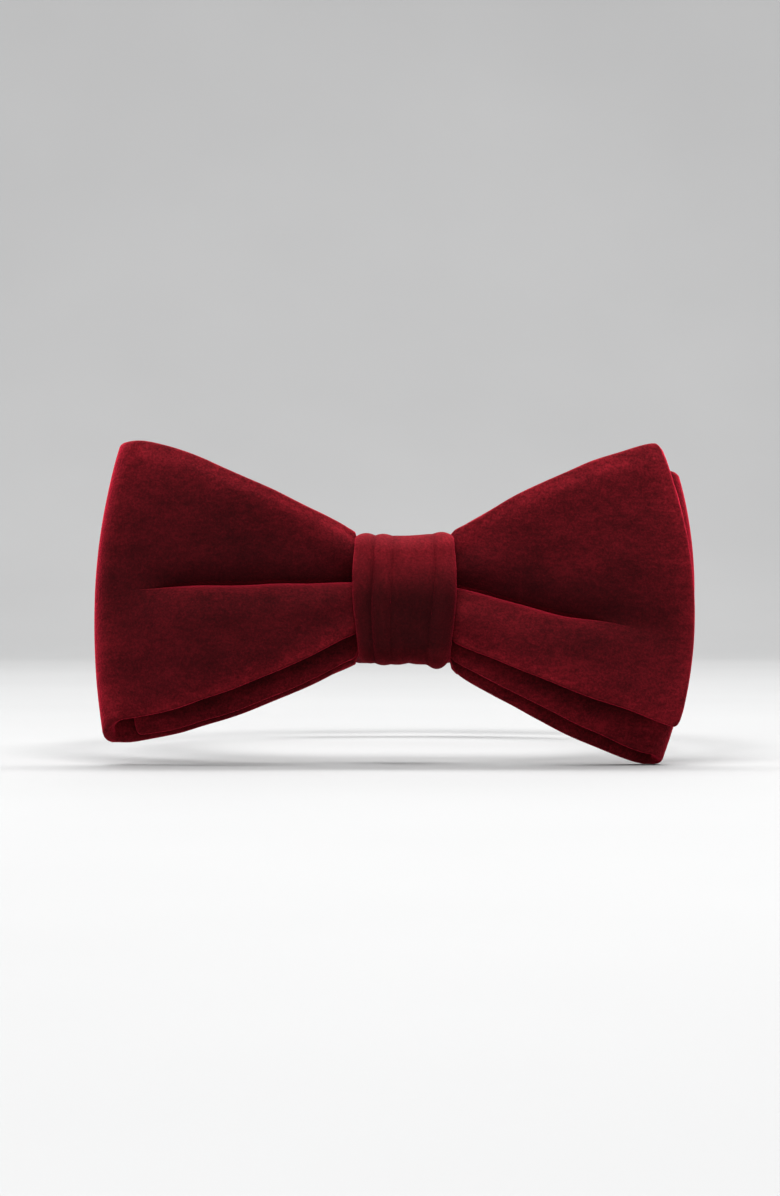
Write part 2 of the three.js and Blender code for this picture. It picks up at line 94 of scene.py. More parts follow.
LEAF_THICKNESS = 2.4
LAYER_PITCH = 2.9
BACK_LAYER_Y = -65.2
MIDDLE_LAYER_Y = BACK_LAYER_Y - LAYER_PITCH
FRONT_LAYER_Y = MIDDLE_LAYER_Y - LAYER_PITCH

# The CAD model's wings stop beside the wrap. Here they run on into it.
LEAF_ROOT = KNOT_HALF_WIDTH - 2.0

# ---- Small maths ----


def mix(a, b, t):
    return a + (b - a) * t


def smooth(low, high, x):
    """0 at low and 1 at high, with a soft start and end. low may be the greater one."""
    t = np.clip((np.asarray(x, float) - low) / (high - low), 0.0, 1.0)
    return t * t * (3 - 2 * t)


def unit(v):
    """Vectors of length 1 along v's last axis."""
    return v / np.maximum(np.linalg.norm(v, axis=-1, keepdims=True), 1e-12)


def ring_point(angle, radius=NECK_RADIUS):
    """A point in X and Y, at an angle in degrees round the neck ring."""
    return np.array([radius * math.cos(math.radians(angle)), radius * math.sin(math.radians(angle))])


def arc(centre, radius, start, stop, steps):
    return [np.array(centre) + ring_point(mix(start, stop, i / steps), radius) for i in range(steps + 1)]


def ring_run(start, stop, radius_from=NECK_RADIUS, radius_to=None):
    """Points along the neck ring. The radius may change evenly on the way."""
    radius_to = radius_from if radius_to is None else radius_to
    steps = max(2, round(abs(stop - start) / 1.5))
    return [
        ring_point(mix(start, stop, i / steps), mix(radius_from, radius_to, i / steps))
        for i in range(steps + 1)
    ]


def cloth_noise(points, scale, seed):
    """Smooth noise from -1 to 1 at each point, for points in millimetres and a scale in millimetres."""
    flat = np.asarray(points).reshape(-1, 3)
    values = [noise.noise(Vector(p) / scale + Vector((seed, 2 * seed, 3 * seed))) for p in flat]
    return np.array(values).reshape(np.asarray(points).shape[:-1])


# ---- Meshes ----


def make_piece(name, corners, faces, material):
    """An object of the scene, from corners in millimetres."""
    mesh = bpy.data.meshes.new(name)
    mesh.from_pydata((np.asarray(corners) * MM).tolist(), [], faces)
    mesh.validate()
    mesh.shade_smooth()
    mesh.materials.append(material)
    piece = bpy.data.objects.new(name, mesh)
    bpy.context.scene.collection.objects.link(piece)
    turn_outwards(piece)
    return piece


def turn_outwards(piece):
    bm = bmesh.new()
    bm.from_mesh(piece.data)
    bmesh.ops.recalc_face_normals(bm, faces=bm.faces)
    bm.to_mesh(piece.data)
    bm.free()


def loft(rings):
    """Corners and faces of a closed body through rings of equal length."""
    count = rings.shape[1]
    faces = []
    for i in range(len(rings) - 1):
        here, after = i * count, (i + 1) * count
        for k in range(count):
            other = (k + 1) % count
            faces.append((here + k, here + other, after + other, after + k))
    faces.append(tuple(range(count)))
    last = (len(rings) - 1) * count
    faces.append(tuple(last + k for k in reversed(range(count))))
    return rings.reshape(-1, 3), faces


def cloth_rings(middle, thickness, seam_notch=0.0, edge_steps=6, detail=None, detail_face=1):
    """Rings round a sheet whose middle surface is a grid of points: two faces and two round edges.

    thickness is a number or one for each station. seam_notch is how deep the seam between the
    two plies lies in the round edges. detail is a grid of shifts for the points of one face, the
    one on the normal's side or, with detail_face -1, the other one.
    """
    half = np.broadcast_to(np.asarray(thickness, float) / 2, (len(middle),))[:, None, None]
    along = np.gradient(middle, axis=0)
    across = np.gradient(middle, axis=1)
    normal = unit(np.cross(along, across))
    front = middle + normal * half
    back = middle - normal * half
    if detail is None:
        detail = np.zeros_like(middle)
    front = front + detail * (detail_face > 0)
    back = back + detail * (detail_face < 0)

    def edge(j, way):
        outward = unit(middle[:, j] - middle[:, j - way])
        facing = normal[:, j]
        points = []
        for i in range(1, edge_steps):
            turn = math.pi * i / edge_steps
            depth = 1 - seam_notch * math.exp(-(((turn - math.pi / 2) / 0.35) ** 2))
            direction = way * math.cos(turn) * facing + depth * math.sin(turn) * outward
            share = (1 + way * detail_face * math.cos(turn)) / 2
            points.append(middle[:, j] + half[:, 0] * direction + share * detail[:, j])
        return np.stack(points, axis=1)

    top = edge(-1, 1)
    bottom = edge(0, -1)
    return np.concatenate([front, top, back[:, ::-1], bottom], axis=1)


def cloth_piece(name, middle, thickness, material, painted_light_and_tone=None, edge_steps=6, **shape):
    """tone, for each point of the grid, is painted light and shade that scales the base colour: below 0
    it is painted shade, which darkens it, and above 0 painted light, which lightens it."""
    corners, faces = loft(cloth_rings(middle, thickness, edge_steps=edge_steps, **shape))
    piece = make_piece(name, corners, faces, material)
    if painted_light_and_tone is not None:
        top = np.repeat(painted_light_and_tone[:, -1:], edge_steps - 1, axis=1)
        bottom = np.repeat(painted_light_and_tone[:, :1], edge_steps - 1, axis=1)
        values = np.concatenate([painted_light_and_tone, top, painted_light_and_tone[:, ::-1], bottom], axis=1)
        piece.data.attributes.new("painted_light_and_tone", "FLOAT", "POINT").data.foreach_set("value", values.ravel())
    return piece


def tube_rings(points, radius, side, sides=8):
    """Rings round a line. side is a direction that the line never runs along."""
    points = np.asarray(points, float)
    along = unit(np.gradient(points, axis=0))
    up = unit(np.cross(along, np.asarray(side, float)))
    across = np.cross(up, along)
    rings = []
    for k in range(sides):
        turn = 2 * math.pi * k / sides
        rings.append(points + radius * (math.cos(turn) * up + math.sin(turn) * across))
    return np.stack(rings, axis=1)


def tube_piece(name, points, radius, side, material):
    corners, faces = loft(tube_rings(points, radius, side))
    return make_piece(name, corners, faces, material)


def smooth_line(points, steps):
    """A Catmull-Rom line through the points."""
    points = [np.asarray(p, float) for p in points]
    ends = [2 * points[0] - points[1], *points, 2 * points[-1] - points[-2]]
    line = []
    for a, b, c, d in zip(ends, ends[1:], ends[2:], ends[3:]):
        for i in range(steps):
            t = i / steps
            square = (2 * a - 5 * b + 4 * c - d) * t**2
            cube = (3 * b - a - 3 * c + d) * t**3
            line.append(0.5 * (2 * b + (c - a) * t + square + cube))
    line.append(points[-1])
    return line


# ---- Materials ----


class Nodes:
    """A material's node tree, with a short way to add and link nodes."""

    def __init__(self, name):
        self.material = bpy.data.materials.new(name)
        self.material.use_nodes = True
        self.tree = self.material.node_tree
        self.shader = next(n for n in self.tree.nodes if n.type == "BSDF_PRINCIPLED")
        self.place = self.add("ShaderNodeTexCoord").outputs["Object"]

    def add(self, kind, **values):
        node = self.tree.nodes.new(kind)
        for key, value in values.items():
            if key in node.inputs:
                node.inputs[key].default_value = value
            else:
                setattr(node, key, value)
        return node

    def link(self, output, target):
        self.tree.links.new(output, target)
        return output

    def stretched(self, scale):
        mapping = self.add("ShaderNodeMapping")
        mapping.inputs["Scale"].default_value = scale
        self.link(self.place, mapping.inputs["Vector"])
        return mapping.outputs["Vector"]

    def noise(self, scale, detail=2.0, stretch=None, rough=0.5):
        node = self.add("ShaderNodeTexNoise", Scale=scale, Detail=detail, Roughness=rough)
        self.link(self.stretched(stretch) if stretch else self.place, node.inputs["Vector"])
        return node.outputs["Fac"]

    def ramp(self, value, *stops):
        node = self.add("ShaderNodeValToRGB")
        elements = node.color_ramp.elements
        while len(elements) < len(stops):
            elements.new(0.5)
        for element, (position, colour) in zip(elements, stops):
            element.position = position
            element.color = (*colour, 1.0)
        self.link(value, node.inputs["Fac"])
        return node.outputs["Color"]

    def maths(self, operation, a, b):
        node = self.add("ShaderNodeMath", operation=operation)
        for socket, value in zip(node.inputs, (a, b)):
            if isinstance(value, (int, float)):
                socket.default_value = value
            else:
                self.link(value, socket)
        return node.outputs[0]

    def scaled(self, colour, by):
        node = self.add("ShaderNodeVectorMath", operation="SCALE")
        self.link(colour, node.inputs["Vector"])
        self.link(by, node.inputs["Scale"])
        return node.outputs["Vector"]

    def bump(self, height, strength, distance):
        node = self.add("ShaderNodeBump", Strength=strength, Distance=distance)
        self.link(height, node.inputs["Height"])
        self.link(node.outputs["Normal"], self.shader.inputs["Normal"])


def grey(value):
    return (value, value, value)


def velvet_material(name, grain, shades, sheen):
    """Short dense pile: dark where it is seen from above, bright at grazing angles, mottled where
    the nap has been brushed different ways, and made lighter or darker by painted light and shade
    from each piece's attribute. grain is how the marks are drawn out, and shades are the red of the
    darkest, middle and lightest marks."""
    green_share, blue_share = 0.036, 0.066
    m = Nodes(name)
    brushed = m.noise(150, 6, grain, 0.72)
    streaks = m.noise(900, 3, grain, 0.6)
    pile = m.noise(2100, 3, None, 0.7)
    mottle = m.maths("ADD", m.maths("MULTIPLY", brushed, 0.38), m.maths("MULTIPLY", streaks, 0.2))
    mottle = m.maths("ADD", mottle, m.maths("MULTIPLY", pile, 0.42))
    colours = [(red, red * green_share, red * blue_share) for red in shades]
    stops = zip((0.40, 0.50, 0.60), colours)
    # The base colour is scaled by 1 plus the piece's painted light and shade.
    painted_light_and_tone = m.add("ShaderNodeAttribute", attribute_name="painted_light_and_tone").outputs["Fac"]
    m.link(m.scaled(m.ramp(mottle, *stops), m.maths("ADD", painted_light_and_tone, 1.0)), m.shader.inputs["Base Color"])
    m.shader.inputs["Roughness"].default_value = 0.95
    m.shader.inputs["Specular IOR Level"].default_value = 0.05
    m.shader.inputs["Sheen Weight"].default_value = sheen
    m.shader.inputs["Sheen Roughness"].default_value = 0.42
    m.shader.inputs["Sheen Tint"].default_value = (0.72, 0.016, 0.050, 1.0)
    height = m.maths("ADD", m.maths("MULTIPLY", pile, 0.9), m.maths("MULTIPLY", streaks, 0.3))
    m.bump(height, 0.55, 0.00045)
    return m.material


def satin_material():
    """Satin weave in the velvet's colour, for the neck band."""
    m = Nodes("strap_satin")
    warp = m.add("ShaderNodeTexWave", wave_type="BANDS", bands_direction="Z", Scale=900, Distortion=1.5)
    m.link(m.place, warp.inputs["Vector"])
    slub = m.noise(240, 3, (1.0, 1.0, 6.0))
    worn = m.noise(35, 3)
    painted_light_and_tone = m.maths("ADD", m.maths("MULTIPLY", slub, 0.5), m.maths("MULTIPLY", worn, 0.5))
    colour = m.ramp(painted_light_and_tone, (0.3, (0.045, 0.0018, 0.0042)), (0.7, (0.090, 0.0034, 0.0080)))
    m.link(colour, m.shader.inputs["Base Color"])
    m.link(m.ramp(slub, (0.3, grey(0.38)), (0.7, grey(0.56))), m.shader.inputs["Roughness"])
    m.shader.inputs["Specular IOR Level"].default_value = 0.22
    m.bump(m.maths("ADD", warp.outputs["Fac"], slub), 0.35, 0.00012)
    return m.material


def thread_material():
    """Twisted sewing thread."""
    m = Nodes("thread")
    twist = m.noise(2600, 2, (1.0, 1.0, 0.35))
    colour = m.ramp(twist, (0.3, (0.055, 0.002, 0.005)), (0.7, (0.13, 0.005, 0.012)))
    m.link(colour, m.shader.inputs["Base Color"])
    m.shader.inputs["Roughness"].default_value = 0.6
    m.shader.inputs["Specular IOR Level"].default_value = 0.25
    m.shader.inputs["Sheen Weight"].default_value = 0.25
    m.shader.inputs["Sheen Tint"].default_value = (0.7, 0.08, 0.12, 1.0)
    m.bump(twist, 0.6, 0.0001)
    return m.material


def label_material():
    """Plain ribbed tape."""
    m = Nodes("label_cloth")
    rib = m.add("ShaderNodeTexWave", wave_type="BANDS", bands_direction="Z", Scale=620, Distortion=0.6)
    m.link(m.place, rib.inputs["Vector"])
    colour = m.ramp(m.noise(500, 3), (0.3, (0.66, 0.63, 0.57)), (0.7, (0.80, 0.77, 0.71)))
    m.link(colour, m.shader.inputs["Base Color"])
    m.shader.inputs["Roughness"].default_value = 0.6
    m.bump(rib.outputs["Fac"], 0.4, 0.0001)
    return m.material


def nickel_material():
    """Polished nickel plate with fine rubbing marks and slightly duller patches."""
    m = Nodes("nickel")
    rubbed = m.noise(420, 4, (1.0, 1.0, 9.0))
    patches = m.noise(140, 3)
    m.link(m.ramp(patches, (0.3, grey(0.36)), (0.7, (0.50, 0.49, 0.47))), m.shader.inputs["Base Color"])
    m.link(m.ramp(rubbed, (0.3, grey(0.14)), (0.75, grey(0.34))), m.shader.inputs["Roughness"])
    m.shader.inputs["Metallic"].default_value = 1.0
    m.bump(rubbed, 0.12, 0.00005)
    return m.material


def studio_material():
    """Matt grey paper."""
    m = Nodes("studio_paper")
    m.link(m.ramp(m.noise(6, 3), (0.2, grey(0.205)), (0.8, grey(0.22))), m.shader.inputs["Base Color"])
    m.shader.inputs["Roughness"].default_value = 0.9
    return m.material


# The wrap's cloth is turned on end, so its marks run upright, and it catches less light.
VELVET = velvet_material("velvet", (0.6, 1.0, 1.25), (0.0085, 0.0185, 0.034), 0.9)
KNOT_VELVET = velvet_material("velvet_of_knot", (1.3, 1.0, 0.45), (0.018, 0.027, 0.040), 0.35)
SATIN = satin_material()
THREAD = thread_material()
LABEL = label_material()
NICKEL = nickel_material()

# ---- Blades ----

# Heights are [at the knot, at the outer end, how fast the edge opens out]; depth is the middle's
# [layer, how far it bellies out halfway, how far it has moved at the end]. An outline is how far
# out the end's edge lies at its foot and top, how far it bows out between them, and how strong the
# painted highlight on its rim is halfway up. A pleat is the crease that the knot presses into the
# wing: its height at the knot and at the outer end, how far it levels out above the line between
# them, where along the wing it begins to fade and is gone, and how much painted light lies above
# and below it.
LEFT_PLEAT = dict(root=2.5, tip=1.2, lift=0.0, fades=(0.64, 0.97), painted_light_above=0.0, painted_light_below=0.0)
RIGHT_PLEAT = dict(root=1.9, tip=-11.4, lift=1.7, fades=(0.42, 0.78), painted_light_above=0.6, painted_light_below=0.4)
LEFT_LOOP = dict(
    side=-1,
    pleat=LEFT_PLEAT,
    outline=dict(low=60.9, high=57.5, bow=3.1, painted_rim_light=0.15),
    front=dict(top=[12.6, 32.0, 1.26], bottom=[-6.6, -24.6, 1.35], depth=[FRONT_LAYER_Y, -4.5, -0.7]),
    back=dict(top=[9.5, 27.5, 1.3], bottom=[-12.9, -29.5, 1.4], depth=[BACK_LAYER_Y, 0.9, 0.3]),
)
LEFT_END = dict(
    side=-1,
    pleat=LEFT_PLEAT,
    outline=dict(low=54.4, high=51.5, bow=2.6, painted_rim_light=0.15),
    front=dict(top=[10.5, 28.0, 1.3], bottom=[-11.6, -28.0, 1.4], depth=[MIDDLE_LAYER_Y, 0.0, 0.0]),
)
RIGHT_END = dict(
    side=1,
    pleat=RIGHT_PLEAT,
    outline=dict(low=55.2, high=51.5, bow=4.6, painted_rim_light=0.9),
    front=dict(top=[12.5, 31.3, 1.42], bottom=[-8.4, -26.2, 1.1], depth=[FRONT_LAYER_Y, -4.0, -1.5]),
)
RIGHT_LOOP = dict(
    side=1,
    pleat=RIGHT_PLEAT,
    outline=dict(low=52.4, high=55.6, bow=4.5, painted_rim_light=0.9),
    front=dict(top=[10.5, 26.0, 1.3], bottom=[-11.9, -31.5, 1.12], depth=[MIDDLE_LAYER_Y, -2.0, -1.2]),
    back=dict(top=[9.5, 24.5, 1.3], bottom=[-14.2, -33.9, 1.27], depth=[BACK_LAYER_Y, 0.15, 0.35]),
)

HALF_COLUMNS = 40  # columns of points on each side of the pleat
CROWDING = 1.8  # how much closer the columns stand near the pleat
LEVELLING = (0.42, 0.74)  # where along the wing a pleat levels out
CORNER_PAINTED_RIM_LIGHT = 1.8  # how strong the painted highlight on the rim is at the corners
SQUARE_CORNER, ROUND_CORNER = 0.01, 1.5  # radii of a leg's outer corners
PLEAT_STEP = 2.2  # how far the lower part of a blade stands in front of the upper part


def outer_edge(outline, v):
    """How far out the end's edge lies at a share of its height."""
    return mix(outline["low"], outline["high"], v) + outline["bow"] * 4 * v * (1 - v)


def edge_height(edge, reach):
    """Height of an upper or lower edge, at a reach from 0 at the knot to 1 at the outer end."""
    root, tip, opening = edge
    return mix(root, tip, 1 - (1 - reach) ** opening)


def leg_y(depth, reach):
    """Depth of the middle of a leg."""
    layer, belly, shift = depth
    return layer + belly * np.sin(np.pi * reach) + shift * reach


def pleat_height(pleat, reach):
    """The pleat runs straight from its root towards its tip, and levels out on the way there."""
    return mix(pleat["root"], pleat["tip"], reach) + pleat["lift"] * smooth(*LEVELLING, reach)


def heights_across(low, high, line):
    """Heights from the lower to the upper edge, close together on both sides of the pleat."""
    close = np.linspace(0.0, 1.0, HALF_COLUMNS + 1) ** CROWDING
    return np.concatenate([mix(line, low, close[::-1]), mix(line, high, close[1:])])


def corner_cut(distance, radius):
    """How much a rounded corner takes off an edge at this distance from the end."""
    inside = np.clip((radius - distance) / radius, 0.0, 1.0)
    return radius * (1 - np.sqrt(1 - inside**2))


def shares_across(leaf):
    """How high each column of a leaf stands at its outer end, from 0 to 1."""
    low, high = leaf["front"]["bottom"][1], leaf["front"]["top"][1]
    heights = heights_across(low, high, pleat_height(leaf["pleat"], 1.0))
    return (heights - low) / (high - low)


def leg_row(leaf, leg, reach, short, corner):
    """One station of a leg: points from the lower to the upper edge."""
    ends = outer_edge(leaf["outline"], shares_across(leaf)) - short
    low, high = edge_height(leg["bottom"], reach), edge_height(leg["top"], reach)
    cut = corner_cut((ends[[0, -1]] - LEAF_ROOT) * (1 - reach), corner)
    half = LEAF_THICKNESS / 2
    z = heights_across(low + half + cut[0], high - half - cut[1], pleat_height(leaf["pleat"], reach))
    x = mix(LEAF_ROOT, ends, reach)
    return np.stack([leaf["side"] * x, np.full_like(x, leg_y(leg["depth"], reach)), z], axis=1)


def fold_row(leaf, share, radius):
    """One station of the round fold at the outer end of a loop."""
    turn = math.pi * share
    front, back = leaf["front"], leaf["back"]
    middle_y = (leg_y(front["depth"], 1.0) + leg_y(back["depth"], 1.0)) / 2
    half = LEAF_THICKNESS / 2
    x = outer_edge(leaf["outline"], shares_across(leaf)) - half - radius * (1 - math.sin(turn))
    low = mix(front["bottom"][1], back["bottom"][1], float(smooth(0.0, 0.75, share)))
    high = mix(front["top"][1], back["top"][1], float(smooth(0.45, 1.0, share)))
    high -= 0.7 * math.sin(turn) ** 3
    z = heights_across(low + half, high - half, pleat_height(leaf["pleat"], 1.0))
    y = np.full_like(x, middle_y - radius * math.cos(turn))
    return np.stack([leaf["side"] * x, y, z], axis=1)


def pleat_profile(above, lip):
    """The crease across the wing, from its own line: how far the outer face stands forward. The
    lower part laps over the upper one with a round lip, and the upper part dips in behind it."""
    turn = np.clip((above + lip) / lip, 0.0, 1.0)
    lap = PLEAT_STEP * np.sqrt(1 - turn**2)
    dip = np.where(above > 0, 1.3 * np.exp(-np.maximum(above, 0.0) / 1.3), 0.0)
    return lap - dip


def soft_lap(above):
    """The part of the lap that the middle of the cloth follows."""
    return PLEAT_STEP * (0.5 - 0.5 * np.tanh((above + 0.6) / 1.8))


def soft_pleat(above):
    """The same for the middle of the cloth, which can only bend gently."""
    return soft_lap(above) - 1.7 * np.exp(-(((above - 0.8) / 3.6) ** 2))


def leaf_shape(middle, reach, pleat, seed):
    """Pleat, soft gathers from the knot and slow waves, added to a grid of points. Returns the
    new grid and the finer shifts of the outer face, which also curves back near both edges."""
    reach = np.broadcast_to(np.asarray(reach, float)[:, None], middle.shape[:2])
    height = middle[..., 2]
    above = height - pleat_height(pleat, reach)
    fading = smooth(*pleat["fades"], reach)
    soft = 1 - smooth(pleat["fades"][0], 1.0, reach)
    spread = height / np.maximum(np.abs(middle[..., 0]), 1.0)
    near_knot = (1 - smooth(0.05, 0.5, reach)) * smooth(0.0, 0.08, reach)
    gathers = 0.35 * np.sin(9.0 * spread + seed) * near_knot
    waves = 0.8 * cloth_noise(middle, 19.0, seed) * smooth(0.05, 0.4, reach)
    ripples = 0.14 * cloth_noise(middle, 6.0, seed + 7)
    shaped = middle.copy()
    shaped[..., 1] -= soft * soft_pleat(above) + gathers + waves + ripples
    shaped[..., 2] += 0.35 * cloth_noise(middle, 9.0, seed + 3)
    from_edge = np.minimum(height - height[:, :1], height[:, -1:] - height)
    rolled = 0.9 * np.exp(-from_edge / 1.7)
    detail = np.zeros_like(middle)
    sharp = (1 - fading) * (pleat_profile(above, mix(1.7, 5.0, fading)) - soft_lap(above))
    detail[..., 1] = rolled - sharp
    return shaped, detail


def leaf_painted_light(middle, reach, leaf):
    """Painted light and shade for the base colour: a painted highlight along every edge and over the
    pleat's lip, strongest near the corners, and painted shade in the pleat and in the hollow above it."""
    pleat, painted_rim_light = leaf["pleat"], leaf["outline"]["painted_rim_light"]
    reach = np.broadcast_to(np.asarray(reach, float)[:, None], middle.shape[:2])
    height, out = middle[..., 2], np.abs(middle[..., 0])
    above = height - pleat_height(pleat, reach)
    fading = smooth(*pleat["fades"], reach)
    to_top = height[:, -1:] - height
    to_bottom = height - height[:, :1]
    to_end = out.max(axis=0) - out
    corner = np.abs(to_top - to_bottom) / (to_top + to_bottom)
    # Painted highlights along the top and bottom edges.
    painted_light_and_tone = 2.4 * np.exp(-to_top / 1.2) + 1.5 * np.exp(-to_top / 4.5)
    painted_light_and_tone += 2.4 * np.exp(-to_bottom / 1.2) + 0.9 * np.exp(-to_bottom / 4.0)
    # A painted highlight along the outer end, stronger towards its corners.
    painted_light_and_tone += (2.2 * np.exp(-to_end / 1.6) + 0.9 * np.exp(-to_end / 5.0)) * mix(painted_rim_light, CORNER_PAINTED_RIM_LIGHT, corner)
    # A painted highlight over the pleat's lip.
    painted_lip_light = smooth(0.3 + 4.0 * fading, -0.1 - 3.0 * fading, above)
    painted_light_and_tone += 1.3 * (1 - fading) * painted_lip_light * np.exp(np.minimum(above, 0.0) / 2.2)
    # Painted shade in the pleat and in the hollow above it.
    painted_crease_shade = 0.45 * np.exp(-above.clip(0) / 1.4) + 0.35 * np.exp(-above.clip(0) / 7.0)
    painted_light_and_tone -= mix(1.0, 0.8, fading) * smooth(1.05, 0.9, reach) * painted_crease_shade * (1 - painted_lip_light)
    # Painted light below the pleat and high above it.
    painted_light_and_tone += pleat["painted_light_below"] * smooth(0.0, -4.0 - 4.0 * fading, above)
    painted_light_and_tone += pleat["painted_light_above"] * smooth(4.0, 14.0, above)
    return painted_light_and_tone.clip(-0.9, 2.6)


def tucked(points, middle):
    """Draws the cloth in where it goes under the knot's wrap."""
    squeeze = mix(0.72, 1.0, smooth(LEAF_ROOT, KNOT_HALF_WIDTH - 0.3, np.abs(middle[..., 0])))
    drawn = points.copy()
    drawn[..., 2] *= squeeze
    return drawn


def blade_piece(name, leaf, middle, reach, thickness, front_rows, seed):
    """The cloth of a blade. Only its first front_rows stations have the finer shifts."""
    shaped, detail = leaf_shape(middle, reach, leaf["pleat"], seed)
    detail[front_rows:] = 0.0
    return cloth_piece(
        name,
        tucked(shaped, middle),
        thickness,
        VELVET,
        # Painted light and shade for the blade's base colour.
        painted_light_and_tone=leaf_painted_light(middle, reach, leaf),
        seam_notch=0.3,
        edge_steps=8,
        detail=detail,
        detail_face=leaf["side"],
    )


def loop_blade(name, leaf, seed):
    """A loop: a leg outwards in front, a round fold and a leg back behind."""
    radius = (leg_y(leaf["back"]["depth"], 1.0) - leg_y(leaf["front"]["depth"], 1.0)) / 2
    short = radius + LEAF_THICKNESS / 2
    reaches = np.linspace(0.0, 1.0, 60)
    shares = np.linspace(0.0, 1.0, 15)[1:-1]
    front = np.array([leg_row(leaf, leaf["front"], r, short, SQUARE_CORNER) for r in reaches])
    turn = np.array([fold_row(leaf, share, radius) for share in shares])
    back = np.array([leg_row(leaf, leaf["back"], r, short, SQUARE_CORNER) for r in reaches[::-1]])
    reach = np.concatenate([reaches, np.ones(len(shares)), reaches[::-1]])
    middle = np.concatenate([front, turn, back])
    return blade_piece(name, leaf, middle, reach, LEAF_THICKNESS, len(front), seed)


def end_blade(name, leaf, seed):
    """A flat end: its last stations get thinner, so that its outer edge is round too."""
    half = LEAF_THICKNESS / 2
    length = outer_edge(leaf["outline"], 0.5) - LEAF_ROOT
    rounding = np.radians(np.linspace(0, 86, 8))[1:]
    straight = np.linspace(0.0, 1.0 - half / length, 62)
    reaches = np.concatenate([straight, 1.0 - half / length * (1 - np.sin(rounding))])
    thickness = LEAF_THICKNESS * np.concatenate([np.ones(len(straight)), np.cos(rounding)])
    middle = np.array([leg_row(leaf, leaf["front"], r, 0.0, ROUND_CORNER) for r in reaches])
    return blade_piece(name, leaf, middle, reaches, thickness, len(middle), seed)


def declare_blade(piece, nodes):
    """Hides the CAD pieces that a blade stands for, and bakes its place into its mesh."""
    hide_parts(*nodes)
    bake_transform(piece)


# ---- Knot ----


def front_bulge(z):
    """How far the knot's front curves away from its foremost line, at a height."""
    foremost = -2.0
    above, below = max(z - foremost, 0.0), max(foremost - z, 0.0)
    return 2.0 * (above / 12.0) ** 2 + 0.5 * (below / 9.0) ** 2


def wrap_path():
    """The wrap's middle line in Y and Z, from its hidden start to its end behind the knot."""
    half = WRAP_THICKNESS / 2
    band_gap, lap_gap = 0.4, 0.7
    inner_back = BAND_FRONT_Y + STRAP_THICKNESS / 2 + band_gap + half
    outer_back = inner_back + 2 * half + lap_gap
    top, bottom = KNOT_HIGH.z - half, KNOT_LOW.z + half
    front = KNOT_LOW.y + half
    corner, back_corner = 3.4, 2.0
    above = front + front_bulge(top - corner) + corner
    below = front + front_bulge(bottom + corner) + corner
    return [
        *[np.array((inner_back, z)) for z in np.linspace(-6, top - back_corner - 0.6, 12)],
        *arc((inner_back - back_corner, top - back_corner), back_corner, 0, 90, 8),
        *[np.array((y, top)) for y in np.linspace(inner_back - 3, above + 0.6, 14)],
        *arc((above, top - corner), corner, 90, 165, 12),
        *[np.array((front + front_bulge(z), z)) for z in np.linspace(7.6, -8.4, 34)],
        *arc((below, bottom + corner), corner, 188, 270, 12),
        *[np.array((y, bottom)) for y in np.linspace(below + 0.6, outer_back - 3, 16)],
        *arc((outer_back - back_corner, bottom + back_corner), back_corner, 270, 360, 8),
        *[np.array((outer_back, z)) for z in np.linspace(bottom + back_corner + 0.6, 3.5, 20)],
        *[np.array((mix(outer_back, outer_back - 0.4, t), mix(3.5, 6.0, t))) for t in (0.35, 0.7, 1.0)],
    ]


def fold(x, place, height, width):
    """A soft upright ridge across x."""
    return height * np.exp(-(((x - place) / width) ** 2))


# The wrap's upright creases and ridges, as [place across the knot, depth or height, width].
WRAP_CREASES = [[-6.5, 1.0, 1.0], [-2.9, 0.35, 0.8], [5.8, 0.45, 0.95]]
WRAP_RIDGES = [[-4.7, 0.5, 1.1], [7.6, 0.3, 1.1]]
WRAP_EDGE = KNOT_HALF_WIDTH - WRAP_THICKNESS / 2  # the middle of the wrap's cloth at its sides


def wrap_drift(z):
    """How far the creases and ridges sway to the side on their way down."""
    return 0.35 * np.sin(z / 5.0)


def on_front(y):
    """1 on the front half of the wrap and 0 on its back."""
    return smooth(-60.0, -68.0, y)


def wrap_folds(x, y, z):
    """Height of the vertical folds of the wrap. They run over its front, top and underside."""
    front = on_front(y)
    aside = x - wrap_drift(z)
    folds = sum(fold(aside, place, height, width) for place, height, width in WRAP_RIDGES)
    folds = folds - sum(fold(aside, place, depth, width) for place, depth, width in WRAP_CREASES)
    upper = smooth(9.0, 12.0, z)
    lower = smooth(-9.5, -12.5, z)
    rolled = -0.9 * np.exp(-(WRAP_EDGE - np.abs(x)) / 0.9) * (1 - 0.6 * upper)
    crown = (fold(x, -8.2, 0.5, 2.4) + fold(x, 8.0, 0.55, 3.0) - fold(x, -0.6, 0.25, 2.5)) * upper
    sag = (fold(x, 7.6, 1.0, 1.9) - fold(x, 0.9, 0.3, 1.3)) * lower
    return front * (folds * (1 - 0.7 * upper - 0.75 * lower) + rolled + crown + sag)


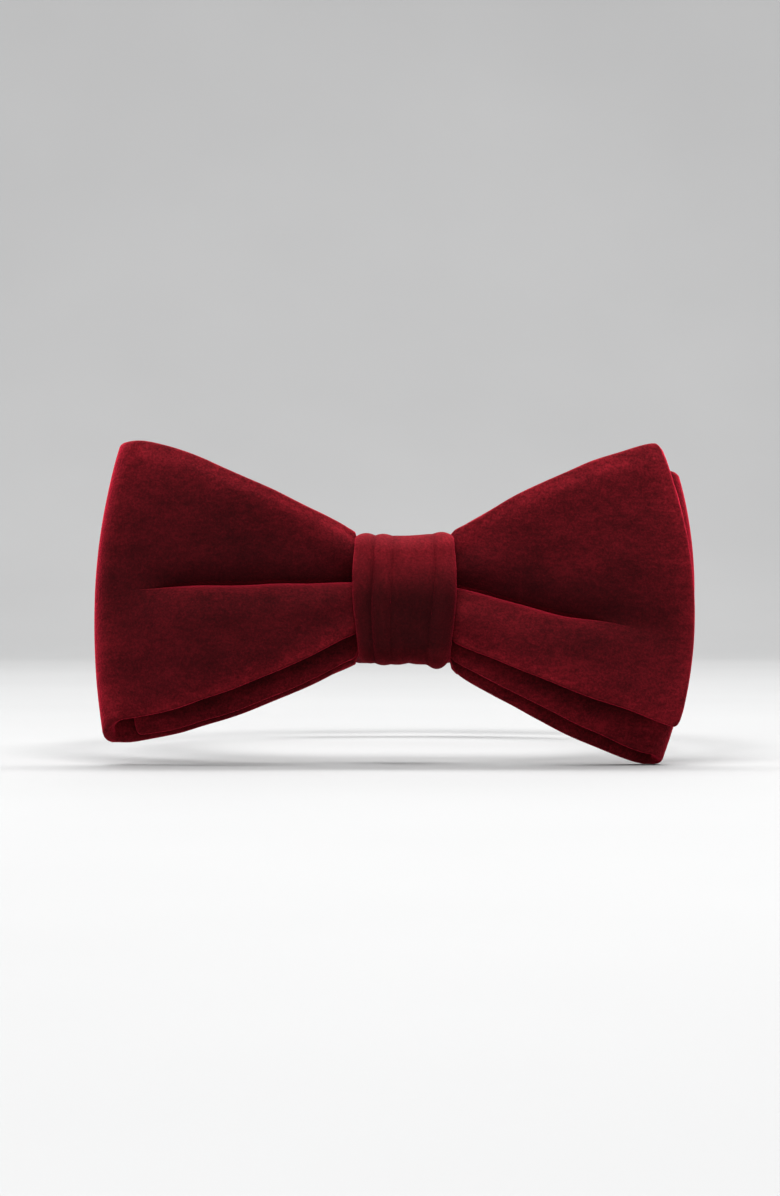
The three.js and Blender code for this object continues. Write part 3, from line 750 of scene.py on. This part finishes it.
def wrap_painted_light(x, y, z):
    """Painted light and shade for the wrap's base colour: lighter towards the top of the knot, as if lit
    from above, painted highlights along its sides and underneath, darker down the front, and painted
    shade in the creases."""
    aside = x - wrap_drift(z)
    front = on_front(y)
    upper = smooth(4.0, 10.0, z)
    # Painted light: lighter towards the top of the knot, darker down its front.
    painted_top_light = mix(-0.52, 1.65, smooth(-1.0, 10.5, z)) - 0.4 * smooth(10.5, 13.0, z)
    painted_crease_shade = sum(fold(aside, place, depth, width) for place, depth, width in WRAP_CREASES)
    # A painted highlight on the ridge left of the middle.
    painted_ridge_light = fold(aside, -4.3, 1.0, 1.0) * mix(0.12, 0.9, upper)
    # Painted highlights along the left and right sides, and along the underside.
    left = np.exp(-(WRAP_EDGE + x) / 1.0) * mix(0.5, 0.8, upper)
    right = np.exp(-(WRAP_EDGE - x) / 0.9) * mix(0.15, 0.8, upper)
    under = 1.3 * smooth(-9.0, -12.2, z)
    painted_light_and_tone = painted_top_light + front * painted_ridge_light + left + right + under
    # Painted shade in the creases down the front.
    painted_crease_shade_factor = 1 - 0.75 * front * np.clip(painted_crease_shade, 0.0, 1.0) * (1 - 0.5 * upper)
    return np.clip((1 + painted_light_and_tone) * painted_crease_shade_factor - 1, -0.9, 2.2)


def knot_wrap():
    """The velvet strip round the knot, drawn in a little over its front, most of all at its foot."""
    columns = 84
    path = np.array(wrap_path())
    across = np.linspace(-WRAP_EDGE, WRAP_EDGE, columns)
    x = np.broadcast_to(across, (len(path), columns))
    waist = 0.13 * smooth(2.0, -13.0, path[:, 1]) + 0.05 * smooth(5.0, 13.0, path[:, 1])
    narrowing = 1 - waist * smooth(-60.0, -66.0, path[:, 0])
    y = np.broadcast_to(path[:, :1], x.shape)
    z = np.broadcast_to(path[:, 1:], x.shape)
    middle = np.stack([x * narrowing[:, None], y, z], axis=2)
    normal = unit(np.cross(np.gradient(middle, axis=1), np.gradient(middle, axis=0)))
    lift = wrap_folds(x, y, z) + 0.16 * cloth_noise(middle, 5.0, 3.0)
    knot_middle = np.array([0, -66.0, 0])
    away = middle - knot_middle
    outward = normal * np.sign(np.sum(normal * away, axis=2, keepdims=True))
    middle = middle + outward * lift[..., None]
    # Painted light and shade for the wrap's base colour.
    painted_light_and_tone = wrap_painted_light(x, y, z)
    wrap = cloth_piece("knot_wrap", middle, WRAP_THICKNESS, KNOT_VELVET, painted_light_and_tone=painted_light_and_tone, edge_steps=8)
    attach(wrap, "knot")
    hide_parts("knot_wrap_shell", "knot_wrap_interlining")


def gathered_waist(name, node, span, middle_y, thickness):
    """Blade cloth drawn together inside the knot, in soft folds that lie along the blade."""
    waist_half_height, flare = 7.6, 1.6
    fold_depth, fold_frequency = 0.12, 9.0
    rows = []
    for x in np.linspace(*span, 26):
        half_height = waist_half_height + flare * (x / KNOT_HALF_WIDTH) ** 2
        z = np.linspace(-half_height, half_height, 40)
        y = middle_y + fold_depth * np.sin(fold_frequency * z / half_height)
        rows.append(np.stack([np.full_like(z, x), y, z], axis=1))
    waist = cloth_piece(name, np.array(rows), thickness, VELVET)
    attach(waist, "knot")
    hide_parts(node)


def back_stitches():
    """Whip stitches along the free end of the wrap, behind the knot."""
    stitches, first_x, pitch = 11, -8.0, 1.55
    lap_y, inner_y, edge = KNOT_HIGH.y - 0.8, KNOT_HIGH.y - 3.2, 6.0
    points = []
    for i in range(stitches):
        x = first_x + pitch * i
        points += [(x, inner_y + 0.25, edge + 1.5), (x + 0.25, lap_y - 0.1, edge + 0.8)]
        points += [(x + 0.55, lap_y + 0.28, edge - 0.2), (x + 0.9, lap_y + 0.1, edge - 1.1)]
        points += [(x + 1.2, lap_y + 0.1, edge + 0.5)]
    piece = tube_piece("knot_back_stitches", smooth_line(points, 5), 0.2, (0, 0, 1), THREAD)
    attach(piece, "knot")
    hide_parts("knot_back_stitch")


def waists():
    """The four layers of cloth inside the knot, which stop just short of the blades."""
    end = LEAF_ROOT - 0.15
    nodes = ("front_blade_waist", "rear_blade_waist", "front_blade_return_end", "rear_blade_return_end")
    for node in nodes:
        low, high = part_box(node)
        low, high = low / MM, high / MM
        span = (max(low.x, -end), min(high.x, end))
        middle_y, thickness = (low.y + high.y) / 2, high.y - low.y - 0.3
        gathered_waist(node + "_gathered", node, span, middle_y, thickness)


def blades():
    """Two blades, each a loop on one side and a flat end on the other. Both pieces of a wing have
    the same seed, so that their waves run together."""
    left_loop = loop_blade("front_blade_loop", LEFT_LOOP, 1.0)
    left_end = end_blade("rear_blade_end", LEFT_END, 1.0)
    right_end = end_blade("front_blade_end", RIGHT_END, 4.0)
    right_loop = loop_blade("rear_blade_loop", RIGHT_LOOP, 4.0)
    declare_blade(
        left_loop,
        ["front_blade_loop_shell", "front_blade_loop_interlining"],
    )
    declare_blade(
        left_end,
        ["rear_blade_end_shell", "rear_blade_end_interlining"],
    )
    declare_blade(
        right_end,
        ["front_blade_end_shell", "front_blade_end_interlining"],
    )
    declare_blade(
        right_loop,
        ["rear_blade_loop_shell", "rear_blade_loop_interlining"],
    )


# ---- Neck band and straps ----


def upright(path, heights):
    """A grid of points over a path in X and Y."""
    return np.array([[(x, y, z) for z in heights] for x, y in path])


def strap_piece(name, path, seed):
    """A strap of the band's height along a path, with slow waves in its cloth."""
    half_height = BAND_HALF_HEIGHT - STRAP_THICKNESS / 2
    grid = upright(path, np.linspace(-half_height, half_height, 15))
    waves = 0.12 * cloth_noise(grid, 9.0, seed)
    normal = unit(np.cross(np.gradient(grid, axis=0), np.gradient(grid, axis=1)))
    middle = grid + normal * waves[..., None]
    piece = cloth_piece(name, middle, STRAP_THICKNESS, SATIN, seam_notch=0.25)
    return piece


def angle_of(x, y):
    return math.degrees(math.atan2(y, x))


def neck_band():
    """Both halves of the band. Each is one piece, which doesn't bend at the side hinges at 0 and 180
    degrees. The left one goes on to the hook's bar, folds round it and ends on its own inner side."""
    corner = math.degrees(math.acos(FLAT_FRONT_HALF / NECK_RADIUS))
    straight = [np.array((x, BAND_FRONT_Y)) for x in np.linspace(0, FLAT_FRONT_HALF - 2, 10)]
    left_front = [np.array((-x, y)) for x, y in straight] + ring_run(180 + corner, 180)
    right_front = straight + ring_run(360 - corner, 360)
    inner_y = CLASP_Y - FOLD_RADIUS
    inner_radius = math.hypot(HOOK_BAR_X, inner_y)
    inner_angle = angle_of(HOOK_BAR_X, inner_y)
    left = [
        *left_front,
        *ring_run(178.5, 101),
        *arc((HOOK_BAR_X, CLASP_Y), FOLD_RADIUS, 90, -90, 14),
        *ring_run(inner_angle + 2, inner_angle + 14, inner_radius),
    ]
    right = [*right_front, *ring_run(1.5, SEAM_ANGLE)]
    left_band = strap_piece("neck_band_left", left, 2.0)
    right_band = strap_piece("neck_band_right", right, 5.0)
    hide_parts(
        "band_front_shell",
        "band_front_interlining",
        "strap_left_shell",
        "strap_left_interlining",
    )
    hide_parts("strap_right_shell", "strap_right_interlining")
    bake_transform(left_band)
    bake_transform(right_band)


def size_loop():
    """The right strap from its seam to the eye, round the eye's bar and back to the slider."""
    live = [
        *ring_run(SEAM_ANGLE + 0.4, 80),
        *arc((EYE_BAR_X, CLASP_Y), FOLD_RADIUS, 90, 268, 14),
    ]
    inner = math.hypot(EYE_BAR_X, CLASP_Y - FOLD_RADIUS)
    over = SLIDER_BAR_RADIUS + FOLD_RADIUS
    under = SLIDER_BAR_RADIUS - FOLD_RADIUS
    bar = ring_point(SLIDER_ANGLE, SLIDER_BAR_RADIUS)
    fixed = [
        *ring_run(80.6, 68, inner, over),
        *ring_run(66, SLIDER_ANGLE + 1.5, over),
        *arc(bar, FOLD_RADIUS, SLIDER_ANGLE, SLIDER_ANGLE - 180, 14),
        *ring_run(SLIDER_ANGLE + 1.5, 69, under),
    ]
    live_strap = strap_piece("size_loop_outer_run", live, 8.0)
    fixed_strap = strap_piece("size_loop_inner_run", fixed, 9.0)
    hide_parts("size_feed_strap", "eye_loop_strap")
    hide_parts("size_run_strap", "slider_loop_strap")
    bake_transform(live_strap)
    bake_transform(fixed_strap)


def zigzag(name, angle, radius, half_width, half_height, turns):
    """A zigzag bartack that lies on a strap's face."""
    along = np.append(ring_point(angle + 90, 1.0), 0.0)
    centre = np.append(ring_point(angle, radius), 0.0)
    points = []
    for i in range(2 * turns + 1):
        z = mix(-half_height, half_height, i / (2 * turns))
        points.append(centre + along * half_width * (1 if i % 2 else -1) + np.array((0, 0, z)))
    return tube_piece(name, smooth_line(points, 4), 0.16, (*ring_point(angle, 1.0), 0), THREAD)


def bartacks():
    """The hook's bartack goes through two layers, so it shows on both sides of them."""
    hook_outside, hook_inside, slider_inside = STRAP_RADIUS_OUT + 0.14, 57.75, 55.2
    tacks = [
        ("hook_bartack_outside", "strap_left", HOOK_TACK_ANGLE, hook_outside, "hook_bartack"),
        ("hook_bartack_inside", "strap_left", HOOK_TACK_ANGLE, hook_inside, None),
        ("slider_bartack_inside", "slider", SLIDER_ANGLE + 5.5, slider_inside, "slider_bartack"),
    ]
    for name, body, angle, radius, node in tacks:
        tack = zigzag(name, angle, radius, 0.8, 8.0, 22)
        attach(tack, body)
        if node:
            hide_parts(node)


def band_seam():
    """The stitched join of the right strap: a row of small stitches on each side of it."""
    for side, angle in (("a", SEAM_ANGLE - 1.3), ("b", SEAM_ANGLE + 1.7)):
        seam = zigzag("strap_seam_" + side, angle, STRAP_RADIUS_OUT + 0.12, 0.12, 8.6, 12)
        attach(seam, "strap_right")


def label():
    """The blank label on the band's inner face."""
    thickness, lift = 0.4, 0.45
    low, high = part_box("blank_label")
    start = angle_of(low.x, low.y) % 360
    stop = angle_of(high.x, high.y) % 360
    radius = NECK_RADIUS - STRAP_THICKNESS / 2 - lift
    path = ring_run(min(start, stop) + 0.5, max(start, stop) - 0.5, radius)
    grid = upright(path, np.linspace(low.z / MM + 0.2, high.z / MM - 0.2, 13))
    tag = cloth_piece("blank_label_cloth", grid, thickness, LABEL, edge_steps=4)
    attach(tag, "band_front")
    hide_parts("blank_label")


# ---- Metal ----


def rounded_metal(node, body):
    """The CAD piece with its sharp edges rounded over. Sizes here are in metres."""
    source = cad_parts[node]
    piece = bpy.data.objects.new(node + "_plated", source.data.copy())
    bpy.context.scene.collection.objects.link(piece)
    piece.data.materials.clear()
    piece.data.materials.append(NICKEL)
    dissolve = piece.modifiers.new("flat faces", "DECIMATE")
    dissolve.decimate_type = "DISSOLVE"
    dissolve.angle_limit = math.radians(3)
    weld = piece.modifiers.new("weld", "WELD")
    weld.merge_threshold = 0.00001
    bevel = piece.modifiers.new("round edges", "BEVEL")
    bevel.width = 0.00016
    bevel.segments = 3
    bevel.limit_method = "ANGLE"
    bevel.angle_limit = math.radians(35)
    apply_modifiers(piece)
    piece.data.shade_smooth()
    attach(piece, body)
    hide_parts(node)


def apply_modifiers(piece):
    graph = bpy.context.evaluated_depsgraph_get()
    mesh = bpy.data.meshes.new_from_object(piece.evaluated_get(graph))
    piece.modifiers.clear()
    piece.data = mesh


def binding_thread():
    """The one CAD piece that keeps its shape: the thread round the blades inside the knot."""
    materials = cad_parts["waist_binding_thread"].data.materials
    materials.clear()
    materials.append(THREAD)


# ---- Studio, in metres ----


def area_light(name, place, target, size, power):
    data = bpy.data.lights.new(name, "AREA")
    data.shape = "RECTANGLE"
    data.size, data.size_y = size
    data.energy = power
    light = bpy.data.objects.new(name, data)
    light.location = place
    light.rotation_euler = (Vector(target) - Vector(place)).to_track_quat("-Z", "Y").to_euler()
    bpy.context.scene.collection.objects.link(light)


def backdrop():
    """Paper that runs under the bow and bends up behind it."""
    floor_z = cad_box[0][2] - 0.0006
    near, far, height, bend = -3.0, 1.6, 2.4, 0.6
    half_width, steps = 3.0, 16
    profile = [(near, floor_z), (far - bend, floor_z)]
    for i in range(1, steps + 1):
        turn = math.radians(90 * i / steps)
        profile.append((far - bend + bend * math.sin(turn), floor_z + bend * (1 - math.cos(turn))))
    profile.append((far, height))
    corners = [(x, y, z) for y, z in profile for x in (-half_width, half_width)]
    faces = [(2 * i, 2 * i + 1, 2 * i + 3, 2 * i + 2) for i in range(len(profile) - 1)]
    mesh = bpy.data.meshes.new("backdrop")
    mesh.from_pydata(corners, [], faces)
    mesh.shade_smooth()
    mesh.materials.append(studio_material())
    paper = bpy.data.objects.new("backdrop", mesh)
    bpy.context.scene.collection.objects.link(paper)


def lights():
    """Soft light from above and behind, weak light from in front and both sides, and a light on
    the paper."""
    world = bpy.data.worlds.new("studio")
    world.use_nodes = True
    background = world.node_tree.nodes["Background"]
    background.inputs["Color"].default_value = (0.95, 0.97, 1.0, 1.0)
    background.inputs["Strength"].default_value = 0.3
    bpy.context.scene.world = world
    bow = (0, -0.07, 0)
    area_light("key_above", (-0.08, -0.5, 0.75), bow, (0.7, 0.4), 16)
    area_light("rim_above", (0.1, 0.12, 0.8), bow, (0.8, 0.3), 8)
    area_light("fill_front", (0.05, -0.75, 0.08), bow, (0.7, 0.5), 2.2)
    area_light("fill_left", (-0.8, -0.4, 0.15), bow, (0.5, 0.8), 0.8)
    area_light("fill_right", (0.8, -0.35, 0.1), bow, (0.5, 0.8), 0.8)
    area_light("back_light", (0.2, 0.9, 0.7), (0, 0.05, 0), (0.8, 0.5), 4)
    area_light("backdrop_wash", (0, 0.3, 1.6), (0, 1.6, 0.3), (2.4, 0.5), 75)


def camera():
    """Level, square to the front of the bow, from 600 mm away with a long lens."""
    bow_front_y, aim_x = -0.0735, -0.0029
    distance = 0.6
    frame_height = 0.2392
    sensor = 0.036
    data = bpy.data.cameras.new("camera")
    data.sensor_width = sensor * 1000
    data.lens = sensor * 1000 * distance / frame_height
    data.clip_start = 0.01
    eye = bpy.data.objects.new("camera", data)
    eye.location = (aim_x, bow_front_y - distance, 0.0)
    eye.rotation_euler = (math.radians(90), 0, 0)
    bpy.context.scene.collection.objects.link(eye)
    bpy.context.scene.camera = eye


bpy.context.scene.view_settings.view_transform = "Standard"
camera()
backdrop()
lights()
knot_wrap()
back_stitches()
waists()
blades()
neck_band()
size_loop()
bartacks()
band_seam()
label()
binding_thread()
for metal_node, metal_body in (("hook", "hook"), ("eye", "eye"), ("slider_frame", "slider")):
    rounded_metal(metal_node, metal_body)

bpy.context.view_layer.update()
